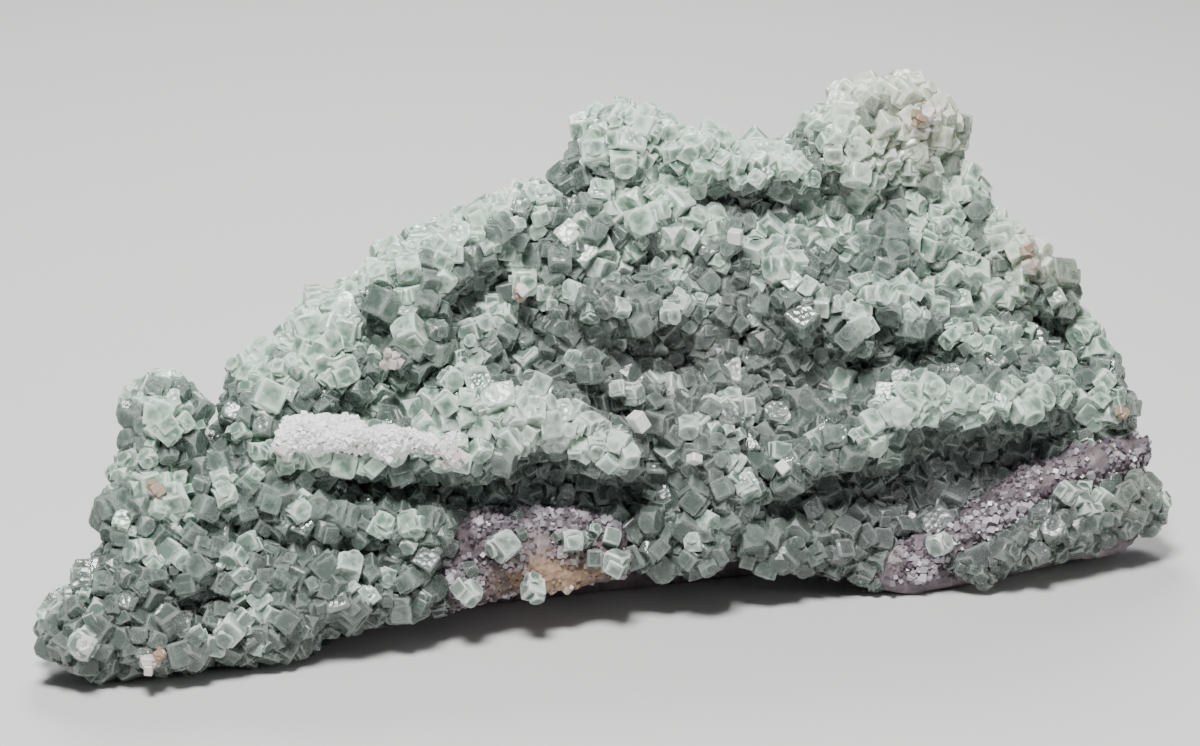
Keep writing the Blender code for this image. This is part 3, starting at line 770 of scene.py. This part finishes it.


# %% [markdown]
# ## Crystals
#
# Fluorite grows as cubes. Here most have cut corners and fine chamfers along their edges, where the
# light catches, and many are stacks of nearly parallel cubes that share one heart. Six shapes, four
# of them with growth steps, and three plainer ones are made with bevels, cuts and insets, then copied
# thousands of times with numpy, which is far faster than adding objects. Every copy gets its own turn,
# size and slight stretch.

# %% Crystal shapes
def crystal_shape(corner, chamfer, steps):
    """A unit cube with cut corners, chamfered edges and raised steps on some faces."""
    shape = bmesh.new()
    bmesh.ops.create_cube(shape, size=1)
    if chamfer:
        bmesh.ops.bevel(shape, geom=list(shape.edges), offset=chamfer, segments=1, affect="EDGES")
    if corner:
        for signs in [(a, b, c) for a in (-1, 1) for b in (-1, 1) for c in (-1, 1)]:
            normal = Vector(signs).normalized()
            point = normal * (math.sqrt(3) / 2 - corner)
            geom = list(shape.verts) + list(shape.edges) + list(shape.faces)
            cut = bmesh.ops.bisect_plane(
                shape, geom=geom, plane_co=point, plane_no=normal, clear_outer=True
            )
            ring = [e for e in cut["geom_cut"] if isinstance(e, bmesh.types.BMEdge)]
            bmesh.ops.contextual_create(shape, geom=ring)
    shape.faces.ensure_lookup_table()
    flats = sorted(shape.faces, key=lambda f: -f.calc_area())[:6]
    for flat, rise in zip(flats, steps):
        bmesh.ops.inset_region(shape, faces=[flat], thickness=0.13, depth=0)
        bmesh.ops.translate(shape, verts=list(flat.verts), vec=flat.normal * rise)
    shape.normal_update()
    bmesh.ops.triangulate(shape, faces=[f for f in shape.faces if len(f.verts) > 4])
    shape.verts.index_update()
    points = np.array([v.co for v in shape.verts])
    faces = [[v.index for v in f.verts] for f in shape.faces]
    slim = [0 if max(abs(c) for c in f.normal) > 0.97 else 1 for f in shape.faces]
    shape.free()
    return points, faces, slim


SHAPES = [
    crystal_shape(0.20, 0.06, (0.03, -0.02)),
    crystal_shape(0.14, 0.05, (0.03,)),
    crystal_shape(0.25, 0.07, (-0.025,)),
    crystal_shape(0.0, 0.07, (0.025, 0.03)),
    crystal_shape(0.24, 0.05, ()),
    crystal_shape(0.17, 0.09, ()),
]
PLAIN = crystal_shape(0.0, 0.07, ())
CUT = crystal_shape(0.2, 0.0, ())
GRAIN = crystal_shape(0.0, 0.0, ())
print("faces a crystal:", [len(s[1]) for s in SHAPES], "plain:", len(PLAIN[1]))


# %% Copy crystals into one mesh
def turns(count):
    """Rotation matrices that favour no direction."""
    q = chance.normal(size=(count, 4))
    w, x, y, z = (q / np.linalg.norm(q, axis=1)[:, None]).T
    return np.stack([
        1 - 2 * (y * y + z * z), 2 * (x * y - z * w), 2 * (x * z + y * w),
        2 * (x * y + z * w), 1 - 2 * (x * x + z * z), 2 * (y * z - x * w),
        2 * (x * z - y * w), 2 * (y * z + x * w), 1 - 2 * (x * x + y * y),
    ], axis=1).reshape(-1, 3, 3)


def small_turns(count, most):
    """Rotation matrices of a few degrees."""
    x, y, z = chance.uniform(-most, most, size=(3, count))
    one = np.ones(count)
    tilt = np.stack([one, -z, y, z, one, -x, -y, x, one], axis=1).reshape(-1, 3, 3)
    u, _, v = np.linalg.svd(tilt)
    return u @ v


def copy_shapes(name, shapes, crystals, materials):
    """One mesh with a copy of a shape for each crystal, and what the finishes read from it."""
    points, loops, totals, slots, values, rims, inner = [], [], [], [], [], [], []
    base = 0
    for number, (unit, faces, slim) in enumerate(shapes):
        mine = crystals["shape"] % len(shapes) == number
        count = int(mine.sum())
        if not count:
            continue
        scale = crystals["edge"][mine][:, None] * crystals["stretch"][mine]
        moved = np.einsum("nij,nkj->nki", crystals["turn"][mine], unit[None] * scale[:, None, :])
        moved += crystals["centre"][mine][:, None, :]
        points.append(moved.reshape(-1, 3))
        flat = np.concatenate([np.array(f) for f in faces])
        sizes = np.array([len(f) for f in faces])
        shift = base + np.arange(count)[:, None] * len(unit)
        loops.append((flat[None] + shift).ravel())
        totals.append(np.tile(sizes, count))
        slots.append(np.repeat(crystals["finish"][mine], len(faces)))
        values.append(np.repeat(crystals["values"][mine], len(unit), axis=0))
        facet = np.zeros((count, len(flat), 3))
        facet[:, :, 0] = np.repeat(slim, sizes)[None]
        facet[:, :, 1] = crystals["chance"][mine][:, None]
        # A random value for each facet that paints it lighter or darker: painted shading standing in for
        # facets that catch the light differently.
        facet[:, :, 2] = np.repeat(chance.random((count, len(faces))), sizes, axis=1)
        rims.append(facet.reshape(-1, 3))
        inner.append(np.tile(unit + 0.5, (count, 1)))
        base += count * len(unit)
    points, loops, totals, slots, values, rims, inner = map(
        np.concatenate, (points, loops, totals, slots, values, rims, inner)
    )
    mesh = bpy.data.meshes.new(name)
    mesh.vertices.add(len(points))
    mesh.vertices.foreach_set("co", (points * MM).ravel())
    mesh.loops.add(len(loops))
    mesh.loops.foreach_set("vertex_index", loops.astype(np.int32))
    mesh.polygons.add(len(totals))
    mesh.polygons.foreach_set("loop_start", np.concatenate([[0], np.cumsum(totals)[:-1]]).astype(np.int32))
    mesh.polygons.foreach_set("material_index", slots.astype(np.int32))
    mesh.update(calc_edges=True)
    mesh.shade_flat()
    for material in materials:
        mesh.materials.append(material)
    # place holds the painted light value, warmth and greyness; facet holds the rim, the crystal's chance and
    # the painted shading of each facet.
    store(mesh, "place", values)
    store(mesh, "facet", rims, "CORNER")
    store(mesh, "inner", inner)
    mesh.calc_loop_triangles()
    print(name, "crystals:", len(crystals["edge"]), "triangles:", len(mesh.loop_triangles))
    return mesh


# %% Spread places over a surface
NEAR = (-1, 0, 1)       # a cell and its neighbours


def random_places(mesh, count):
    """Places and normals spread evenly by area."""
    mesh.calc_loop_triangles()
    corner = np.empty(len(mesh.loop_triangles) * 3, np.int32)
    mesh.loop_triangles.foreach_get("vertices", corner)
    a, b, c = mesh_points(mesh)[corner.reshape(-1, 3)].transpose(1, 0, 2)
    cross = np.cross(b - a, c - a)
    area = np.linalg.norm(cross, axis=1) + 1e-12
    pick = chance.choice(len(area), size=count, p=area / area.sum())
    u, v = chance.random((2, count))
    over = u + v > 1
    u[over], v[over] = 1 - u[over], 1 - v[over]
    places = a[pick] + (b - a)[pick] * u[:, None] + (c - a)[pick] * v[:, None]
    return places, (cross / area[:, None])[pick]


def thin_out(places, sizes, taken, cell=4.0):
    """Keeps the places that no earlier one crowds, each needing the room its size says."""
    kept = []
    for number, (point, size) in enumerate(zip(places, sizes)):
        i, j, k = (point // cell).astype(int)
        near = (taken.get((i + a, j + b, k + c), ()) for a in NEAR for b in NEAR for c in NEAR)
        crowded = any(
            (point - other) @ (point - other) < ((size + room) / 2) ** 2
            for group in near for other, room in group
        )
        if not crowded:
            taken.setdefault((i, j, k), []).append((point, size))
            kept.append(number)
    return np.array(kept, int)


# %% Where crystals grow
LOWEST = 2.2            # the lowest place for a crystal's root


def crust_allows(places, normals):
    """Everywhere but over bare rock, near the resting face and inside the rock."""
    x, y, z = places.T
    low = (z < LOWEST) | ((z < 4.5) & (y > -18))
    allowed = ~(bare_rock_at(places - (0, 0, 1)) | low)
    for number in np.flatnonzero(allowed & (y > face_depth(z) + 10)):
        place = Vector(places[number])
        skin, outward = rock_tree.find_nearest(place)[:2]
        allowed[number] = (place - skin).dot(outward) > -0.5
    return allowed


def foot_allows(places, normals):
    """Below the band, on the front."""
    x, y, z = places.T
    return (z < band_height(x) + 0.8) & (z > LOWEST) & (y < 10)


def patch_allows(places, normals):
    """More and more crystals towards the top of the bare patch."""
    x, y, z = places.T
    on_patch = inside(x, z, BARE_PATCH) & (y < face_depth(z) + 8) & (normals[:, 1] < 0.2)
    return on_patch & (chance.random(len(z)) < np.clip((z - 9) / 8, 0, 1))


# %% Grow crystals on a bed
def grow(mesh, allows, tries, edges, room, lift, taken, lighter=0.0):
    """Crystals on a surface. Each needs room times its edge, and its edge follows openness."""
    places, normals = random_places(mesh, tries)
    ok = allows(places, normals)
    places, normals = places[ok], normals[ok]
    first = chance.random(len(places))
    least, most = edges
    rough_edge = least + (most - least) * first ** 1.3
    kept = thin_out(places, rough_edge * room, taken)
    places, normals, edge = places[kept], normals[kept], rough_edge[kept]
    seen = openness_at(places, normals)
    edge *= 0.82 + 0.2 * np.clip(seen * 1.3, 0, 1)
    count = len(places)
    # The painted light value of each crystal; lighter shifts it, darker for the small crystals that sit
    # deeper. Where it is low the crystal is more often clear.
    painted_light_value = light_at(places, normals, seen) + lighter + chance.normal(0, 0.07, count)
    painted_light_value = np.clip(painted_light_value, 0, 1)
    values = np.stack([painted_light_value, warmth_at(places), greyness_at(places)], axis=1)
    clearness = 0.36 - painted_light_value + values[:, 2] * 0.14 + fractal(places, 9.0, 2, 4.0) * 0.55
    clearness += chance.uniform(-0.2, 0.2, count)
    return {
        "centre": places + normals * (edge * chance.uniform(*lift, count))[:, None],
        "edge": edge,
        "turn": turns(count),
        "stretch": chance.uniform(0.88, 1.12, (count, 3)),
        "values": values,
        "finish": (clearness > 0).astype(int),
        "shape": chance.integers(0, 60, count),
        "chance": chance.random(count),
    }


def stacked(parents, least, most):
    """Smaller, nearly parallel cubes that share the heart of each crystal."""
    repeats = chance.integers(least, most + 1, len(parents["edge"]))
    index = np.repeat(np.arange(len(repeats)), repeats)
    count = len(index)
    edge = parents["edge"][index] * chance.uniform(0.55, 0.85, count)
    shift = chance.uniform(-0.3, 0.3, (count, 3)) * parents["edge"][index][:, None]
    turn = parents["turn"][index]
    return {
        "centre": parents["centre"][index] + np.einsum("nij,nj->ni", turn, shift),
        "edge": edge,
        "turn": turn @ small_turns(count, 0.2),
        "stretch": chance.uniform(0.85, 1.15, (count, 3)),
        "values": parents["values"][index],
        "finish": parents["finish"][index],
        "shape": chance.integers(0, 60, count),
        "chance": chance.random(count),
    }


def gathered(*groups):
    return {key: np.concatenate([g[key] for g in groups]) for key in groups[0]}


def chosen(crystals, mask):
    return {key: value[mask] for key, value in crystals.items()}


taken = {}
large = grow(bed_mesh, crust_allows, 90000, (2.5, 4.4), 0.74, (-0.05, 0.3), taken)
small = grow(bed_mesh, crust_allows, 60000, (1.5, 2.5), 0.8, (0.0, 0.4), taken, lighter=-0.15)
foot_large = grow(foot_mesh, foot_allows, 12000, (2.4, 4.0), 0.76, (-0.05, 0.3), taken)
foot_small = grow(foot_mesh, foot_allows, 9000, (1.5, 2.6), 0.8, (0.0, 0.4), taken, lighter=-0.15)
sparse = grow(rock_mesh, patch_allows, 4000, (1.6, 3.1), 1.2, (-0.05, 0.25), {}, lighter=-0.1)
print("crystals grown:", [len(group["edge"]) for group in (large, small, foot_large, foot_small, sparse)])

# %% Dress the crust and the foot
FINISHES = [milky_fluorite, clear_fluorite]
BOX_SLACK = 1.5         # millimetres that a crystal's reach may pass the solids' box
REACH_SHARE = 0.8       # how far a crystal reaches from its heart, as a share of its edge
SEAT_SHARE = 0.62       # how high its heart has to be above the table, as a share of its edge
PARTINGS = (-35, 30)    # where the crust is parted across into left, middle and right


def kept_in_box(crystals):
    """Without the crystals that would pass the solids' own box or the table."""
    centre, edge = crystals["centre"], crystals["edge"]
    reach = edge[:, None] * REACH_SHARE
    low, high = (np.array(corner) / MM for corner in cad_box)
    ok = (centre - reach > low - BOX_SLACK).all(axis=1) & (centre + reach < high + BOX_SLACK).all(axis=1)
    return chosen(crystals, ok & (centre[:, 2] > edge * SEAT_SHARE))


def placed(mesh, name, slot, *replaced):
    """A piece that rides on the specimen and stands for the named solids."""
    obj = link(mesh, name)
    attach(obj, "root")
    if replaced:
        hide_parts(*replaced)


def dress(name, shapes, crystals, materials, slot, *replaced):
    """Copies of the shapes as one piece."""
    placed(copy_shapes(name, shapes, crystals, materials), name, slot, *replaced)


def thirds(crystals):
    """The crystals of each part of the crust, which keeps each piece small."""
    number = np.digitize(crystals["centre"][:, 0], PARTINGS)
    return [chosen(crystals, number == third) for third in range(3)]


cores = thirds(kept_in_box(large))
stacks = thirds(kept_in_box(stacked(large, 2, 4)))
for part, core, stack in zip(("left", "middle", "right"), cores, stacks):
    dress(f"crystals_{part}", SHAPES, core, FINISHES, "fluorite")
    dress(f"stacked_{part}", [PLAIN, CUT], stack, FINISHES, "fluorite")
dress("crystals_small", [PLAIN, CUT], kept_in_box(small), FINISHES, "fluorite")
foot_all = kept_in_box(gathered(foot_large, stacked(foot_large, 2, 4), foot_small))
dress("crystals_foot", SHAPES[4:], foot_all, FINISHES, "fluorite", "foot_crust")
sparse_all = kept_in_box(gathered(sparse, stacked(sparse, 1, 3)))
dress("crystals_on_patch", SHAPES[3:], sparse_all, FINISHES, "fluorite")


# %% Dress the beds
def dress_bed(mesh, name, *replaced):
    """The bed in far darker tones than the crystals: painted shade in the gaps between them."""
    points, normals = mesh_points(mesh), mesh_normals(mesh)
    seen = openness_at(points, normals)
    painted_light_value = np.clip(light_at(points, normals, seen), 0, 1)
    store(mesh, "place", np.stack([painted_light_value, warmth_at(points), greyness_at(points)], axis=1))
    store(mesh, "inner", np.full((len(points), 3), 0.5))
    mesh.materials.clear()
    mesh.materials.append(bed_fluorite_painted_shade)
    placed(mesh, name, "fluorite", *replaced)


dress_bed(bed_mesh, "crust_bed", "fluorite_crust")
dress_bed(foot_mesh, "foot_bed")

# %% [markdown]
# ## White crust
#
# Along the left ledge lies a white, sugary crust: thousands of tiny crystals in lumps. The frame
# gives its place and reach. Its skin is remeshed and softened, and grains are strewn over it.

# %% Make the white crust
white_paint = plain_material("white_grains", (0.95, 0.95, 0.94), 0.4)
tree = white_paint.node_tree
shader = tree.nodes["Principled BSDF"]
surface = patchy(tree, 300.0, 1500.0, 0.8)
white = mix_colour(tree, surface.outputs["Patch"], (0.9, 0.92, 0.9), (0.98, 0.98, 0.97))
wire(tree, white, shader.inputs["Base Color"])
bump(tree, surface.outputs["Height"], 0.4, 0.0003, shader)


def loose_set(places, normals, edge, values):
    """Grains at these places, for copy_shapes."""
    count = len(places)
    return {
        "centre": places + normals * (edge * chance.uniform(0.0, 0.4, count))[:, None],
        "edge": edge,
        "turn": turns(count),
        "stretch": chance.uniform(0.8, 1.2, (count, 3)),
        "values": values,
        "finish": np.zeros(count, int),
        "shape": chance.integers(0, 60, count),
        "chance": chance.random(count),
    }


white_mesh = welded(nodes["white_crust"].data.copy(), 0.7, 3)
skin = mesh_points(white_mesh)
skin += mesh_normals(white_mesh) * (fractal(skin, 3.5, 3, 1.0) * 1.3 - 0.7)[:, None]
set_points(white_mesh, skin)
white_mesh.materials.clear()
white_mesh.materials.append(white_paint)
placed(white_mesh, "white_crust_body", "white_crystal", "white_crust")
places, normals = random_places(white_mesh, 16000)
edge = chance.uniform(0.35, 1.0, len(places))
kept = thin_out(places, edge * 0.75, {}, 2.0)
grains = loose_set(places[kept], normals[kept], edge[kept], np.ones((len(kept), 3)))
dress("white_grains", [GRAIN], grains, [white_paint], "white_crystal")

# %% [markdown]
# ## Grains on the bare rock
#
# The bare patch and the band are not smooth: fine crystals of less than a millimetre, pink to
# white, sparkle all over them. They are strewn over the rock's skin inside the two regions.

# %% Strew the grains
def grain_material(name, dark, pale, warm):
    """A paint that runs from dark to pale by one stored value, and to warm by another."""
    material = plain_material(name, pale, 0.3)
    tree = material.node_tree
    shader = tree.nodes["Principled BSDF"]
    shader.inputs["Transmission Weight"].default_value = 0.2
    values = stored(tree, "place")
    tint = mix_colour(tree, values[0], dark, pale)
    wire(tree, mix_colour(tree, values[1], tint, warm), shader.inputs["Base Color"])
    return material


grain_paint = grain_material("rock_grains", (0.13, 0.1, 0.125), (0.66, 0.61, 0.65), (0.44, 0.33, 0.26))
chip_paint = grain_material("chips", (0.3, 0.18, 0.1), (0.93, 0.91, 0.89), (0.46, 0.31, 0.19))

places, normals = random_places(rock_mesh, 90000)
x, y, z = places.T
near_patch = (x > -36) & (x < 5) & (z < 24) & (y < 0)
in_band = inside(x, z - BAND_WIDTH - 3, BAND_EDGE) & ~inside(x, z + 3, BAND_EDGE) & (y < 8)
ok = (near_patch | in_band) & (normals[:, 1] < 0.3) & (z > 4 - np.abs(x) * 0.03)
places, normals = places[ok], normals[ok]
clump = fractal(places, 4.5, 3, 7.0)
warm = np.exp(-(((places[:, 0] + 14) / 9) ** 2 + ((places[:, 2] - 10) / 3.2) ** 2))
grows = chance.random(len(places)) < np.clip(0.75 + clump * 1.6 - warm * 0.8, 0.06, 1)
places, normals, clump, warm = places[grows], normals[grows], clump[grows], warm[grows]
edge = chance.uniform(0.3, 1.0, len(places)) * np.clip(0.9 + clump * 0.5, 0.6, 1.3)
kept = thin_out(places, edge * 0.7, {}, 2.0)
tint = np.clip(0.2 + clump[kept] + chance.normal(0, 0.24, len(kept)), 0, 1)
values = np.stack([tint, warm[kept], tint], axis=1)
grains = loose_set(places[kept], normals[kept], edge[kept], values)
dress("rock_grains", [GRAIN], grains, [grain_paint], "rock")

# %% [markdown]
# ## Chips and pale cubes
#
# The green is broken by small chips of white and brown stone, and by a few cubes that are white.
# Each has its place across and up the face, in millimetres. The nearest place on the bed is looked
# up, and the chip is a handful of grains heaped over it, as high as the crystals around it.

# %% Heap the chips
CHIPS = [               # across, up, reach, how pale, how warm
    (62.5, 79.6, 2.4, 1.0, 0.1), (57.7, 78.2, 1.0, 0.3, 0.6), (-16.6, 58.1, 1.3, 1.0, 0.0),
    (-15.2, 59.3, 0.7, 0.3, 0.5), (-37.3, 47.4, 1.5, 0.8, 0.2), (-80.5, 35.9, 0.8, 0.3, 0.5),
    (74.0, 58.4, 0.9, 0.4, 0.4), (75.9, 55.8, 0.9, 0.6, 0.3), (93.7, 25.6, 0.8, 0.4, 0.5),
    (-94.1, 8.7, 1.2, 1.0, 0.0), (-59.9, 34.4, 1.9, 1.0, 0.0), (-31.5, 33.3, 2.3, 1.0, 0.0),
    (-85.4, 6.1, 1.3, 0.9, 0.1), (-82.6, 8.0, 0.7, 0.3, 0.6),
]
PALE_CUBES = [          # across, up, edge
    (3.4, 39.0, 2.7), (10.2, 31.0, 1.8), (24.8, 27.9, 1.9), (24.0, 63.7, 2.2),
]


def crust_top(across, up):
    """The place among the crystals' tips nearest to a point in front of the face."""
    place, normal = bed_tree.find_nearest(Vector((across, face_depth(up) - 9, up)))[:2]
    return np.array(place + normal * CRYSTAL_DEPTH)


heaps = []
for across, up, reach, pale, warm in CHIPS:
    count = int(reach * 12)
    places = crust_top(across, up) + chance.normal(size=(count, 3)) * reach * 0.42
    values = np.clip(np.array([pale, warm, 0]) + chance.normal(0, (0.2, 0.08, 0.1), (count, 3)), 0, 1)
    heaps.append(loose_set(places, np.zeros((count, 3)), chance.uniform(0.7, 1.5, count), values))
for across, up, edge in PALE_CUBES:
    place = crust_top(across, up)
    heaps.append(loose_set(place[None], np.zeros((1, 3)), np.array([edge]), np.array([[1.0, 0.0, 0.0]])))
chips = kept_in_box(gathered(*heaps))
dress("chips", [PLAIN], chips, [chip_paint], "rock")

# %% [markdown]
# ## Crystals that stand alone
#
# A few crystals stand by themselves on the bare rock. The frame has a solid for each, so the
# detailed crystal takes its centre and size from that solid's box.

# %% Replace the lone crystals
for number in range(1, 8):
    name = f"lone_crystal_{number}"
    low, high = (np.array(corner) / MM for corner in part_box(name))
    edge = float(np.max(high - low)) / 1.7
    centre = (low + high) / 2
    # Each takes a fixed painted light value of 0.3, a little warmth and much grey.
    one = {
        "centre": centre[None], "edge": np.array([edge]), "turn": turns(1), "stretch": np.ones((1, 3)),
        "values": np.array([[0.3, 0.1, 0.7]]), "finish": np.zeros(1, int), "shape": np.array([number]),
        "chance": np.array([0.6]),
    }
    dress(name + "_detail", SHAPES, gathered(one, stacked(one, 3, 4)), FINISHES, "fluorite", name)
